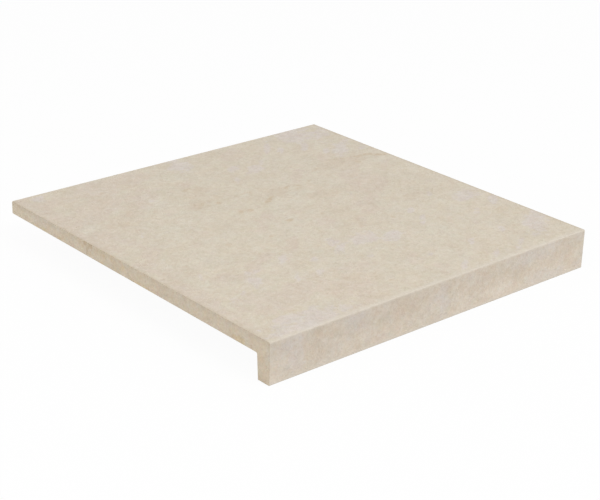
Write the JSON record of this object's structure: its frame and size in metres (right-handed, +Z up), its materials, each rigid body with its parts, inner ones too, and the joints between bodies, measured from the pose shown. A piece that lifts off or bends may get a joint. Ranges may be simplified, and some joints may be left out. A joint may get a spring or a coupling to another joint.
{
  "type": "stair tread tile",
  "caption": "Square porcelain stair tread tile in one L-shaped piece, with a thick slab and a drop nosing, in a beige stone-look finish.",
  "frame": {"origin": "middle of the square footprint, level with the tip of the nosing", "axes": "+X along the nosing, to the right seen from in front of the step; +Y from the nosing towards the back of the step; +Z up, out of the walking surface"},
  "size_m": [0.6, 0.6, 0.06],
  "materials": {
    "porcelain": "matte"
  },
  "bodies": {
    "root": {"stair_tread_tile": "porcelain"}
  },
  "joints": []
}
